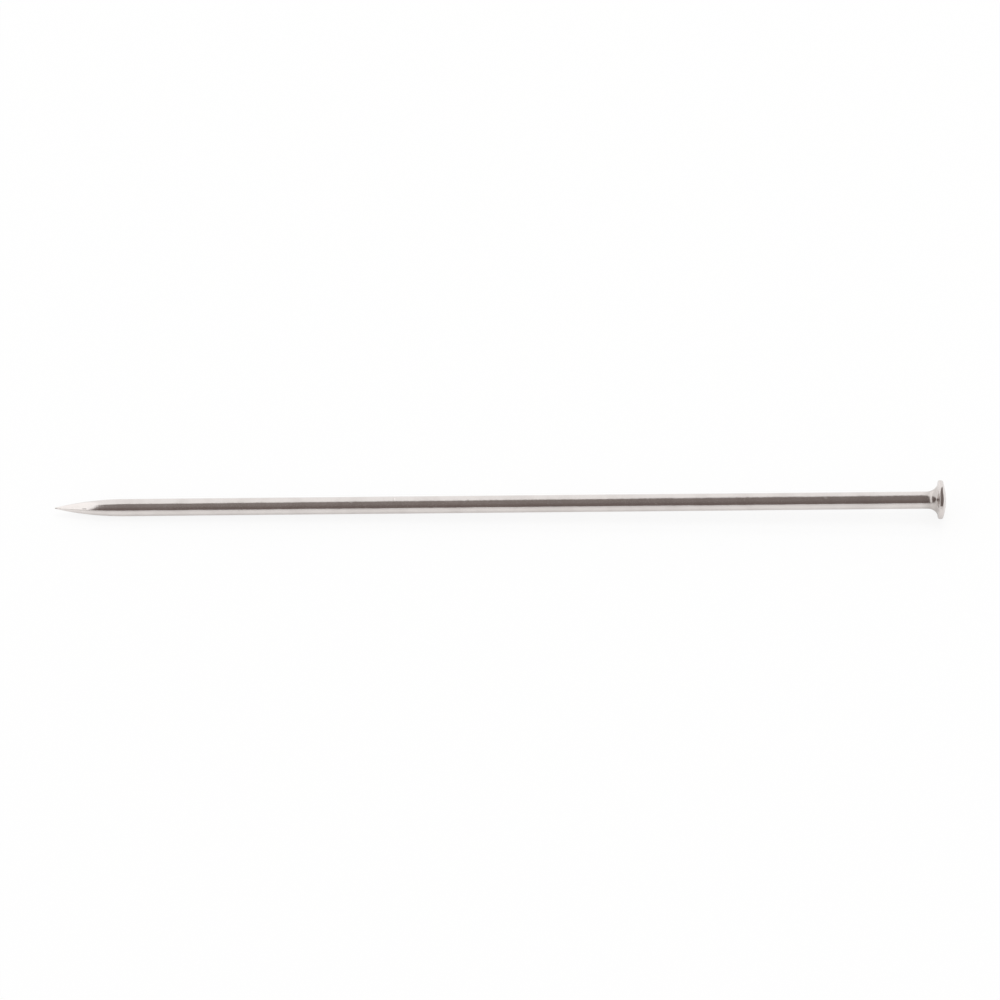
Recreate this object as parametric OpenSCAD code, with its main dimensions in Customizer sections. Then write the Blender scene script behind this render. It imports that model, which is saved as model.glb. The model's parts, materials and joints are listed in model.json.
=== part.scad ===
// Straight pin for dressmaking: a length of drawn wire with a cold-formed flared
// head at one end and a ground point at the other, all in one piece.
// It lies as it comes to rest: on the rim of its head and on the shoulder of its
// point, with its head towards +X. The origin is on the surface, below its middle.
// Lengths are in millimetres and angles in degrees.

/* [Wire] */
// Overall length, from the tip of the point to the crown of the head
pin_length = 31; // [15:0.5:60]
// Diameter of the drawn wire
wire_d = 0.6; // [0.4:0.05:0.8]

/* [Head] */
// Diameter of the head over its rim
head_d = 1.35; // [1.1:0.05:2]
// Length of the flare that opens from the wire to the underside of the rim
flare_h = 0.38; // [0.1:0.02:1]
// Radius of the rounding on both edges of the rim
rim_r = 0.06; // [0.02:0.01:0.12]
// Straight land of the rim, between its two roundings
rim_land = 0.06; // [0.02:0.01:0.4]
// Rise of the domed crown above the top of the rim
crown_rise = 0.1; // [0.02:0.01:0.3]

/* [Point] */
// Length of the ground taper
point_length = 2.4; // [1:0.1:4]
// Radius of the rounded tip
tip_r = 0.02; // [0.01:0.005:0.06]

/* [Hidden] */
steel = [0.78, 0.76, 0.74];
wire_r = wire_d / 2;
head_r = head_d / 2;
// Chords in the long curves of the outline and in its small roundings
curve_steps = 12;
edge_steps = 5;
$fn = 96;

// Heights along the pin, measured from the tip
upper_edge_z = pin_length - crown_rise - rim_r;
lower_edge_z = upper_edge_z - rim_land;
flare_top_z = lower_edge_z - rim_r;
flare_foot_z = flare_top_z - flare_h;

// Both roundings of the rim are centred on this radius, and the flare ends on it
edge_centre_r = head_r - rim_r;

// The crown is a shallow cap that meets the upper rounding of the rim smoothly
crown_reach = (edge_centre_r ^ 2 + crown_rise ^ 2) / (2 * crown_rise);
crown_r = crown_reach + rim_r;
crown_edge_angle = 90 - asin(edge_centre_r / crown_reach);

// The point is an ogive: one large arc that leaves the wire without a step and
// meets the small ball of the tip smoothly
ogive_r = (wire_r ^ 2 + (point_length - tip_r) ^ 2 - tip_r ^ 2) / (2 * (wire_r - tip_r));
ogive_centre = [wire_r - ogive_r, point_length];
tip_angle = -asin((point_length - tip_r) / (ogive_r - tip_r));

// Lying down, the pin touches the surface with the ogive, just ahead of the wire,
// and with the lower rounding of the rim, so its axis slopes up to the head
rest_span = [edge_centre_r, lower_edge_z] - ogive_centre;
rest_angle = atan2(rest_span.x, rest_span.y) - asin((ogive_r - rim_r) / norm(rest_span));
rest_lift = ogive_r + ogive_centre.x * cos(rest_angle) - point_length * sin(rest_angle);
point_end_x = tip_r * cos(rest_angle) - tip_r;
head_end_x = (pin_length - crown_r) * cos(rest_angle) + crown_r;

// Points along an arc: skip leaves out the first, where another curve ends on it
function arc(centre, radius, from, to, steps, skip = 0) = [
    for (i = [skip:steps])
        let (angle = from + (to - from) * i / steps)
        centre + radius * [cos(angle), sin(angle)]
];

// The trumpet-shaped flare: a quarter of an ellipse, along the wire where it
// starts and square to the wire where it ends under the rim
function flare(width) = [
    for (i = [0:curve_steps])
        let (angle = 90 * i / curve_steps)
        [wire_r + width * (1 - cos(angle)), flare_foot_z + flare_h * sin(angle)]
];

// Half sections of the two ends, as radius and height, from the tip upwards
point_outline = concat(
    arc([0, tip_r], tip_r, -90, tip_angle, edge_steps),
    arc(ogive_centre, ogive_r, tip_angle, 0, curve_steps, 1)
);
head_outline = concat(
    flare(edge_centre_r - wire_r),
    arc([edge_centre_r, lower_edge_z], rim_r, -90, 0, edge_steps, 1),
    arc([edge_centre_r, upper_edge_z], rim_r, 0, crown_edge_angle, edge_steps),
    arc([0, pin_length - crown_r], crown_r, crown_edge_angle, 90, curve_steps, 1)
);

module straight_pin() {
    color(steel)
        translate([-(point_end_x + head_end_x) / 2, 0, rest_lift])
            rotate([0, 90 - rest_angle, 0])
                rotate_extrude()
                    polygon(concat(point_outline, head_outline));
}

straight_pin();
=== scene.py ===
"""A dressmaker's straight pin: drawn steel wire with a flared, domed head and a ground
point, nickel-plated, lying on a white sheet under a soft studio light.

The pin's lengths are millimetres, in its own frame: its axis is Z, with the end of the
point at zero. The finished mesh is in metres, in the frame of the CAD.
"""
import json
import math

import bmesh
import bpy
from mathutils import Matrix, Vector, noise


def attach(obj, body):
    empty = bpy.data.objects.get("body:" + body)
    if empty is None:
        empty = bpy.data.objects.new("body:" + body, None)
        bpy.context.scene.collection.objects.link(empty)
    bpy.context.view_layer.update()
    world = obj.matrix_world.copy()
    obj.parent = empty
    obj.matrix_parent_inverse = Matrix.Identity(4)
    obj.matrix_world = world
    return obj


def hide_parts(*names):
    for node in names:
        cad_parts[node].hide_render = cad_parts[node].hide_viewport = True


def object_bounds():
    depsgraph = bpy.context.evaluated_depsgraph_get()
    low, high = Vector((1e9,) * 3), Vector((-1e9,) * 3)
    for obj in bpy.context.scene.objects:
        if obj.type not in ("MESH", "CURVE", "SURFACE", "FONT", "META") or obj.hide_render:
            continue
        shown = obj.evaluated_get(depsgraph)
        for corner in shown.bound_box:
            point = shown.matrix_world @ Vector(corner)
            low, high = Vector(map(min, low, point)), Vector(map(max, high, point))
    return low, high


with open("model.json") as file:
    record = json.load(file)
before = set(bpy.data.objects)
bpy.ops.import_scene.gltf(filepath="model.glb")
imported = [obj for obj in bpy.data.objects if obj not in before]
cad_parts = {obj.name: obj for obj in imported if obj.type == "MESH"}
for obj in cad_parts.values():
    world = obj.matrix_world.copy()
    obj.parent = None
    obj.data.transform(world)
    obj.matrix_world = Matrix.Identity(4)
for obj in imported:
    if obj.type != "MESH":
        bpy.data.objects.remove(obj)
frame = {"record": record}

cad_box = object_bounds()

MM = 0.001
MICRON = 0.000001

# The head: its width and flare are measured in the photograph, its roundings estimated
HEAD_RADIUS = 0.675
FLARE_LENGTH = 0.38
RIM_ROUNDING = 0.06
RIM_LAND = 0.06
CROWN_RISE = 0.10

# The ground point
POINT_LENGTH = 2.4
TIP_ROUNDING = 0.02

# The wire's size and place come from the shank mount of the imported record
shank = next(m for m in frame["record"]["mounts"] if m["name"] == "shank")
WIRE_RADIUS = shank["dims"]["r_mm"]
SHANK_LENGTH = shank["dims"]["length_mm"]
to_head = -Vector(shank["axis"]).normalized()

# Heights along the pin, from the end of the point
FLARE_FOOT = POINT_LENGTH + SHANK_LENGTH
FLARE_TOP = FLARE_FOOT + FLARE_LENGTH
RIM_LOWER = FLARE_TOP + RIM_ROUNDING
RIM_UPPER = RIM_LOWER + RIM_LAND
PIN_LENGTH = RIM_UPPER + RIM_ROUNDING + CROWN_RISE
# Both roundings of the rim are centred on this radius
RIM_CENTRE = HEAD_RADIUS - RIM_ROUNDING

tip = Vector(shank["pos_m"]) - to_head * (POINT_LENGTH + SHANK_LENGTH / 2) * MM
lean = to_head.to_track_quat("Z", "Y")
pin_place = Matrix.LocRotScale(tip, lean, Vector((MM, MM, MM)))

# How finely the lathe turns the pin and each part of its outline, and how near to each
# other two points are when they are merged
TURN_STEPS = 96
TIP_STEPS = 6
POINT_STEPS = 30
WIRE_PIECES = 110
FLARE_STEPS = 18
RIM_STEPS = 7
CROWN_STEPS = 16
MERGE_WITHIN = 0.00001

# Small faults in the mesh: the blow that forms the head leaves it a little to one side
# and its rim and crown uneven, and the drawing die leaves the wire a little uneven
HEAD_SHIFT = Vector((0.018, 0, 0))
RIM_SWELL = 0.016
CROWN_SWELL = 0.010
WIRE_SWELL = 0.006
# How quickly the unevenness changes round the pin, along the wire and across the crown,
# and the places in the noise where the rim's and the crown's are read
PACE_ROUND = 1.4
PACE_ALONG = 0.9
PACE_ACROSS = 3.1
RIM_NOISE_PLACE = Vector((0, 0, 3.7))
CROWN_NOISE_PLACE = Vector((0, 0, 8.2))

# Where each part's finish sets in along the pin, from none to full, and where the tight neck's
# ends under the rim.
# The head's and the neck's ranges also set where painted shade darkens the head and the neck.
POINT_FINISH = (POINT_LENGTH + 0.2, POINT_LENGTH - 0.4)
HEAD_FINISH_AND_SHADE = (FLARE_FOOT - 0.1, FLARE_TOP)
CROWN_FINISH = (RIM_UPPER, RIM_UPPER + 0.05)
NECK_SHADE_AND_FINISH = (FLARE_FOOT - 0.25, FLARE_FOOT + 0.12)
NECK_END = (RIM_LOWER, FLARE_TOP - 0.10)

# Relief of the surface, in thousandths of a millimetre
LINE_RELIEF = 0.9
WAVE_RELIEF = 3.0
DENT_RELIEF = 2.2
GRIND_RELIEF = 0.35
STRUCK_RELIEF = 3.0
LONG_NICK_RELIEF = 4.0
CROSS_NICK_RELIEF = 8.0
# The share of the dents that grinding takes off the point
GROUND_AWAY = 0.85
# Drawing lines and waves are stretched along the wire, grinding marks across the point
LINE_STRETCH = 0.012
WAVE_STRETCH = 0.35
GRIND_STRETCH = 0.06
# How many places for a nick there are to a millimetre, across the wire and along it, the
# share of them that has one, and how far it reaches in its place
LONG_NICK_PLACES = (8.0, 1.7)
CROSS_NICK_PLACES = (1.7, 4.0)
LONG_NICK_SHARE = 0.14
CROSS_NICK_SHARE = 0.10
NICK_REACH = 0.20

# Nickel where it is clean and where it has dulled, and the painted shade in the tight neck under
# the head
CLEAN_NICKEL = (0.785, 0.740, 0.717, 1)
DULL_NICKEL = (0.720, 0.673, 0.650, 1)
NECK_PAINTED_SHADE = (0.540, 0.500, 0.475, 1)
# The range of the noise over which nickel dulls, how much painted shade darkens the head, and how
# much of the painted shade in the neck shows
DULLING = (-0.12, 0.22)
HEAD_PAINTED_SHADE = 0.5
NECK_SHADE_SHARE = 0.6

# Roughness of the clean plating, and what each mark or place adds to it
CLEAN_ROUGHNESS = 0.14
DENT_ROUGHNESS = 0.10
LINE_ROUGHNESS = 0.10
POINT_ROUGHNESS = -0.04
CROWN_ROUGHNESS = 0.08
NECK_ROUGHNESS = 0.06
NICK_ROUGHNESS = 0.12

# The sheet, in metres: it lies just under the pin, so that the two don't touch
SHEET_HALF_SIDE = 1.5
SHEET_DROP = -4 * MICRON
SHEET_ROUGHNESS = 0.10
WHITE = (1, 1, 1, 1)
SHEET_WHITE = (0.975, 0.970, 0.967, 1)
# How much of the sheet's own white shows over the shadow that falls on it, and how much
# of that white the metal mirrors
WASH_OUT = 0.85
MIRRORED_WHITE = 0.33

# What the metal mirrors: the room low down and overhead, and the screen at the left
ROOM_LOW = (0.170, 0.140, 0.132, 1)
ROOM_HIGH = (0.270, 0.243, 0.233, 1)
SCREEN = (1.20, 1.20, 1.20, 1)
# The light that falls on everything from all round
SOFT_LIGHT = (0.86, 0.86, 0.86, 1)

# Where these begin, from none to full, in the direction that the metal mirrors. Side goes
# from -1 at the left to 1 at the right, back from the camera to behind the pin, and up
# from below to overhead. The room is lighter overhead, and most of all at the left.
HORIZON_UP = (0.07, 0.01)
OVERHEAD_UP = (0.40, 0.95)
LIGHTER_SIDE = (0.20, -0.20)
LIGHT_AT_RIGHT = 0.3
SWEEP_BACK = (0.00, 0.08)
# The room reaches further back where it is mirrored near the head
REACH_SIDE = (-0.12, 0.16)
REACH_END = (0.80, 0.35)
ROOM_REACH = 0.55
# The screen stands a little above the sheet, and its right edge slants
SCREEN_RIGHT_EDGE = (-0.24, -0.26)
SCREEN_LEFT_EDGE = (-0.55, -0.50)
SCREEN_FOOT_UP = (0.08, 0.14)
SCREEN_SLANT = 0.05

# The lamp and the camera, in metres and watts, with the camera's sensor and lens in mm
LAMP_SIDE = 0.12
LAMP_POWER = 0.13
LAMP_PLACE = Vector((0.02, 0.08, 0.28))
CAMERA_RISE = math.radians(45)
CAMERA_DISTANCE = 0.196
SENSOR_WIDTH = 36
LENS = 203
NEAREST_SEEN = 0.01
FARTHEST_SEEN = 10


def carry_round(metal, end, centre, turn, steps):
    """Carries the outline on from its end, in an arc about a centre (radius, height)."""
    swept = bmesh.ops.spin(
        metal,
        geom=[end],
        cent=(centre[0], 0, centre[1]),
        axis=(0, -1, 0),
        angle=turn,
        steps=steps,
    )
    return next(part for part in swept["geom_last"] if isinstance(part, bmesh.types.BMVert))


def carry_along(metal, end, length, pieces):
    """Carries the outline straight on along the pin, in equal pieces."""
    for _ in range(pieces):
        pulled = bmesh.ops.extrude_vert_indiv(metal, verts=[end])
        end = pulled["verts"][0]
        bmesh.ops.translate(metal, verts=[end], vec=(0, 0, length / pieces))
    return end


def draw_outline(metal):
    """Half of the pin's section, from the end of the point to the middle of the crown."""
    ogive_radius = (WIRE_RADIUS**2 + (POINT_LENGTH - TIP_ROUNDING) ** 2 - TIP_ROUNDING**2) / (
        2 * (WIRE_RADIUS - TIP_ROUNDING)
    )
    tip_slope = math.asin((POINT_LENGTH - TIP_ROUNDING) / (ogive_radius - TIP_ROUNDING))
    crown_reach = (RIM_CENTRE**2 + CROWN_RISE**2) / (2 * CROWN_RISE)
    crown_slope = math.asin(RIM_CENTRE / crown_reach)
    crown_centre = PIN_LENGTH - crown_reach - RIM_ROUNDING
    quarter = math.pi / 2

    end = metal.verts.new((0, 0, 0))
    end = carry_round(metal, end, (0, TIP_ROUNDING), quarter - tip_slope, TIP_STEPS)
    ogive_centre = (WIRE_RADIUS - ogive_radius, POINT_LENGTH)
    end = carry_round(metal, end, ogive_centre, tip_slope, POINT_STEPS)
    end = carry_along(metal, end, SHANK_LENGTH, WIRE_PIECES)

    # The flare is a quarter turn of a circle, drawn in to the flare's width
    before = set(metal.verts)
    flare_centre = (WIRE_RADIUS + FLARE_LENGTH, FLARE_FOOT)
    end = carry_round(metal, end, flare_centre, -quarter, FLARE_STEPS)
    bmesh.ops.scale(
        metal,
        vec=((RIM_CENTRE - WIRE_RADIUS) / FLARE_LENGTH, 1, 1),
        space=Matrix.Translation((-WIRE_RADIUS, 0, 0)),
        verts=[v for v in metal.verts if v not in before],
    )
    end = carry_round(metal, end, (RIM_CENTRE, RIM_LOWER), quarter, RIM_STEPS)
    end = carry_along(metal, end, RIM_LAND, 1)
    end = carry_round(metal, end, (RIM_CENTRE, RIM_UPPER), quarter - crown_slope, RIM_STEPS)
    end = carry_round(metal, end, (0, crown_centre), crown_slope, CROWN_STEPS)
    # The outline ends exactly on the axis, so that the crown closes in one point
    end.co.x = 0


def wear_in(metal):
    """The faults of a headed and tumbled pin, each within two hundredths of a millimetre."""
    for vertex in metal.verts:
        spot = vertex.co.copy()
        out = Vector((spot.x, spot.y, 0))
        around = out.normalized() * PACE_ROUND
        headward = min(max((spot.z - FLARE_FOOT) / FLARE_LENGTH, 0), 1)
        rim_noise = noise.noise(around + RIM_NOISE_PLACE)
        wire_noise = noise.noise(around + Vector((0, 0, spot.z * PACE_ALONG)))
        vertex.co += HEAD_SHIFT * headward
        vertex.co += out * (rim_noise * headward * RIM_SWELL + wire_noise * WIRE_SWELL)
        if spot.z > RIM_UPPER:
            vertex.co.z += noise.noise(out * PACE_ACROSS + CROWN_NOISE_PLACE) * CROWN_SWELL


def stand_in_scene(name, shape):
    """Makes an object of a finished shape, at the origin, and lets the shape go."""
    mesh = bpy.data.meshes.new(name)
    shape.to_mesh(mesh)
    shape.free()
    thing = bpy.data.objects.new(name, mesh)
    bpy.context.scene.collection.objects.link(thing)
    return thing


def turn_pin():
    """Turns the outline about the pin's axis and lays the pin where the CAD's lies."""
    metal = bmesh.new()
    draw_outline(metal)
    bmesh.ops.spin(
        metal,
        geom=metal.verts[:] + metal.edges[:],
        cent=(0, 0, 0),
        axis=(0, 0, 1),
        angle=math.tau,
        steps=TURN_STEPS,
        use_merge=True,
    )
    bmesh.ops.remove_doubles(metal, verts=metal.verts[:], dist=MERGE_WITHIN)
    wear_in(metal)
    bmesh.ops.transform(metal, matrix=pin_place, verts=metal.verts[:])
    bmesh.ops.recalc_face_normals(metal, faces=metal.faces[:])
    for face in metal.faces:
        face.smooth = True
    return stand_in_scene("pin", metal)


class Reading:
    """One socket of a node tree. Arithmetic on readings adds the Math nodes for it."""

    def __init__(self, tree, socket=None):
        self.tree = tree
        self.socket = socket

    def node(self, kind, settings=None, inputs=None, output=0):
        """Adds a node: its settings first, then the values and links of its sockets."""
        made = self.tree.nodes.new("ShaderNode" + kind)
        for name, value in (settings or {}).items():
            setattr(made, name, value)
        for name, value in (inputs or {}).items():
            if isinstance(value, Reading):
                self.tree.links.new(value.socket, made.inputs[name])
            else:
                made.inputs[name].default_value = value
        return Reading(self.tree, made.outputs[output] if made.outputs else None)

    def maths(self, operation, *values):
        """One step of arithmetic, on readings and numbers."""
        return self.node("Math", {"operation": operation}, dict(enumerate(values)))

    def __add__(self, other):
        return self.maths("ADD", self, other)

    def __sub__(self, other):
        return self.maths("SUBTRACT", self, other)

    def __mul__(self, other):
        return self.maths("MULTIPLY", self, other)

    def __rsub__(self, other):
        return self.maths("SUBTRACT", other, self)

    __radd__ = __add__
    __rmul__ = __mul__

    def fade(self, none, full):
        """Goes smoothly from 0, at one value of this reading, to 1, at another."""
        return self.node(
            "MapRange",
            {"interpolation_type": "SMOOTHSTEP"},
            {"Value": self, "From Min": none, "From Max": full},
        )

    def mix(self, none, full):
        """Mixes two colours by this reading: 6, 7 and output 2 are the node's colour sockets."""
        return self.node("Mix", {"data_type": "RGBA"}, {0: self, 6: none, 7: full}, output=2)

    def parts(self):
        """The three numbers of a vector."""
        split = self.node("SeparateXYZ", None, {"Vector": self}).socket.node
        return [Reading(self.tree, part) for part in split.outputs]

    def joined(self, x, y, z):
        """A vector of three numbers."""
        return self.node("CombineXYZ", None, {"X": x, "Y": y, "Z": z})

    def cloud(self, scale, detail, roughness):
        """Noise about zero, from -0.5 to 0.5, at this place."""
        made = self.node(
            "TexNoise",
            {"noise_dimensions": "3D"},
            {"Vector": self, "Scale": scale, "Detail": detail, "Roughness": roughness},
        )
        return made - 0.5

    def nicks(self, share):
        """Scattered hollows, 1 at the middle and 0 outside, in a share of the cells. The
        last tenth of the share gets shallower ones."""
        cells = self.node("TexVoronoi", {"feature": "F1"}, {"Vector": self, "Scale": 1.0})
        pick = Reading(self.tree, cells.socket.node.outputs["Color"]).parts()[0]
        return cells.fade(NICK_REACH, 0.0) * pick.fade(share, share * 0.9)


def start_material(name):
    """A material with no nodes yet, and a reading to start its nodes from."""
    material = bpy.data.materials.new(name)
    material.use_nodes = True
    material.node_tree.nodes.clear()
    return material, Reading(material.node_tree)


def nickel_plated_steel():
    """Bright nickel over drawn wire: lines along the wire, grinding marks on the point,
    hammered unevenness on the crown, and a few nicks from tumbling. The head and the neck under
    it are painted darker, as painted shade."""
    material, start = start_material("nickel_plated_steel")
    where = start.node("TexCoord", None, None, output="Object")
    on_pin = where.node(
        "Mapping",
        {"vector_type": "TEXTURE"},
        {"Vector": where, "Location": tip, "Rotation": lean.to_euler(), "Scale": (MM, MM, MM)},
    )
    x, y, along = on_pin.parts()
    outward = on_pin.node("VectorMath", {"operation": "NORMALIZE"}, {0: on_pin.joined(x, y, 0.0)})
    side_x, side_y = [part * WIRE_RADIUS for part in outward.parts()[:2]]

    def on_surface(across, lengthwise):
        """The place on the wire's surface, scaled across the wire and along it."""
        return on_pin.joined(side_x * across, side_y * across, along * lengthwise)

    on_point = along.fade(*POINT_FINISH)
    on_head = along.fade(*HEAD_FINISH_AND_SHADE)
    on_crown = along.fade(*CROWN_FINISH)
    in_neck_shade_and_finish = along.fade(*NECK_SHADE_AND_FINISH) * along.fade(*NECK_END)

    drawn_lines = on_surface(1.0, LINE_STRETCH).cloud(scale=26.0, detail=3.0, roughness=0.6)
    long_waves = on_surface(1.0, WAVE_STRETCH).cloud(scale=3.2, detail=2.0, roughness=0.5)
    dents = on_pin.cloud(scale=5.5, detail=2.0, roughness=0.45)
    ground = on_pin.joined(x * GRIND_STRETCH, y * GRIND_STRETCH, along)
    grinding = ground.cloud(scale=18.0, detail=1.0, roughness=0.5)
    struck = on_pin.cloud(scale=9.0, detail=3.0, roughness=0.6)
    on_wire = 1 - on_head
    long_nicks = on_surface(*LONG_NICK_PLACES).nicks(LONG_NICK_SHARE) * on_wire
    cross_nicks = on_surface(*CROSS_NICK_PLACES).nicks(CROSS_NICK_SHARE) * on_wire

    height = (
        drawn_lines * (1 - on_point) * LINE_RELIEF
        + long_waves * WAVE_RELIEF
        + dents * (1 - on_point * GROUND_AWAY) * DENT_RELIEF
        + grinding * on_point * GRIND_RELIEF
        + struck * on_crown * STRUCK_RELIEF
        - long_nicks * LONG_NICK_RELIEF
        - cross_nicks * CROSS_NICK_RELIEF
    )
    relief = where.node("Bump", None, {"Strength": 1.0, "Distance": MICRON, "Height": height})

    stains = on_pin.cloud(scale=1.3, detail=4.0, roughness=0.55)
    # Real dulling of the nickel from the noise, plus painted shade: the whole head painted
    # darker, standing in for the dim room it mirrors
    dulled_and_head_shade = stains.fade(*DULLING) + on_head * HEAD_PAINTED_SHADE
    nickel = dulled_and_head_shade.mix(CLEAN_NICKEL, DULL_NICKEL)
    # Painted shade: the tight neck under the head is painted darker, where shade falls in the
    # crevice
    colour = (in_neck_shade_and_finish * NECK_SHADE_SHARE).mix(nickel, NECK_PAINTED_SHADE)
    roughness = (
        CLEAN_ROUGHNESS
        + dents * DENT_ROUGHNESS
        + drawn_lines * LINE_ROUGHNESS
        + on_point * POINT_ROUGHNESS
        + on_crown * CROWN_ROUGHNESS
        + in_neck_shade_and_finish * NECK_ROUGHNESS
        + (long_nicks + cross_nicks) * NICK_ROUGHNESS
    )
    metal = where.node(
        "BsdfPrincipled",
        None,
        {"Base Color": colour, "Metallic": 1.0, "Roughness": roughness, "Normal": relief},
    )
    where.node("OutputMaterial", None, {"Surface": metal})
    return material


def lay_sheet():
    """A smooth white sheet just under the pin, with a slight gloss."""
    sheet = bmesh.new()
    bmesh.ops.create_grid(sheet, x_segments=1, y_segments=1, size=SHEET_HALF_SIDE)
    bmesh.ops.translate(sheet, verts=sheet.verts[:], vec=(0, 0, SHEET_DROP))
    floor = stand_in_scene("floor", sheet)
    material, start = start_material("white_sheet")
    shaded = start.node(
        "BsdfPrincipled", None, {"Base Color": SHEET_WHITE, "Roughness": SHEET_ROUGHNESS}
    )
    white = start.node("Emission", None, {"Color": WHITE, "Strength": 1.0})
    in_camera = start.node("LightPath", None, None, output="Is Camera Ray")
    in_metal = start.node("LightPath", None, None, output="Is Glossy Ray")
    own_white = in_camera * WASH_OUT + in_metal * MIRRORED_WHITE
    shown = start.node("MixShader", None, {0: own_white, 1: shaded, 2: white})
    start.node("OutputMaterial", None, {"Surface": shown})
    floor.data.materials.append(material)


def hang_sky():
    """White for the camera and soft light for the sheet. What the metal mirrors is a white
    sweep from overhead down to the back, a dim room on the camera's side of it, white low
    down where the sheet runs on, and a bright screen at the left."""
    world = bpy.data.worlds.new("studio")
    bpy.context.scene.world = world
    world.use_nodes = True
    world.node_tree.nodes.clear()
    start = Reading(world.node_tree)
    side, back, up = start.node("TexCoord", None, None, output="Generated").parts()
    lighter = side.fade(*LIGHTER_SIDE) * (1 - LIGHT_AT_RIGHT) + LIGHT_AT_RIGHT
    room = (up.fade(*OVERHEAD_UP) * lighter).mix(ROOM_LOW, ROOM_HIGH)
    room_and_sheet = up.fade(*HORIZON_UP).mix(room, WHITE)
    reach = side.fade(*REACH_SIDE) * side.fade(*REACH_END) * ROOM_REACH
    with_sweep = (back - reach).fade(*SWEEP_BACK).mix(room_and_sheet, WHITE)
    at_left = (side - back * SCREEN_SLANT).fade(*SCREEN_RIGHT_EDGE) * side.fade(*SCREEN_LEFT_EDGE)
    mirrored = (at_left * up.fade(*SCREEN_FOOT_UP)).mix(with_sweep, SCREEN)
    in_metal = start.node("LightPath", None, None, output="Is Glossy Ray")
    in_camera = start.node("LightPath", None, None, output="Is Camera Ray")
    shown = in_camera.mix(in_metal.mix(SOFT_LIGHT, mirrored), WHITE)
    sky = start.node("Background", None, {"Color": shown, "Strength": 1.0})
    start.node("OutputWorld", None, {"Surface": sky})
    # Every ray reads the sky itself, so a mirrored ray never takes the plain light's value
    world.cycles.sampling_method = "NONE"


def hang_lamp():
    """A square soft lamp high behind the pin, which the metal doesn't mirror."""
    data = bpy.data.lights.new("back_lamp", "AREA")
    data.size = LAMP_SIDE
    data.energy = LAMP_POWER
    lamp = bpy.data.objects.new("back_lamp", data)
    lamp.location = LAMP_PLACE
    lamp.rotation_euler = (-LAMP_PLACE).to_track_quat("-Z", "Y").to_euler()
    lamp.visible_glossy = False
    bpy.context.scene.collection.objects.link(lamp)


def place_camera():
    """Looks down on the pin at 45 degrees, square to its length, as in the photograph."""
    aim = (cad_box[0] + cad_box[1]) / 2
    to_camera = Vector((0, -math.cos(CAMERA_RISE), math.sin(CAMERA_RISE)))
    data = bpy.data.cameras.new("camera")
    data.sensor_width = SENSOR_WIDTH
    data.lens = LENS
    data.clip_start = NEAREST_SEEN
    data.clip_end = FARTHEST_SEEN
    camera = bpy.data.objects.new("camera", data)
    camera.location = aim + to_camera * CAMERA_DISTANCE
    camera.rotation_euler = (-to_camera).to_track_quat("-Z", "Y").to_euler()
    bpy.context.scene.collection.objects.link(camera)
    bpy.context.scene.camera = camera


place_camera()
pin = turn_pin()
pin.data.materials.append(nickel_plated_steel())
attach(pin, "root")
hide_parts("straight_pin")

lay_sheet()
hang_sky()
hang_lamp()

bpy.context.scene.view_settings.view_transform = "Standard"
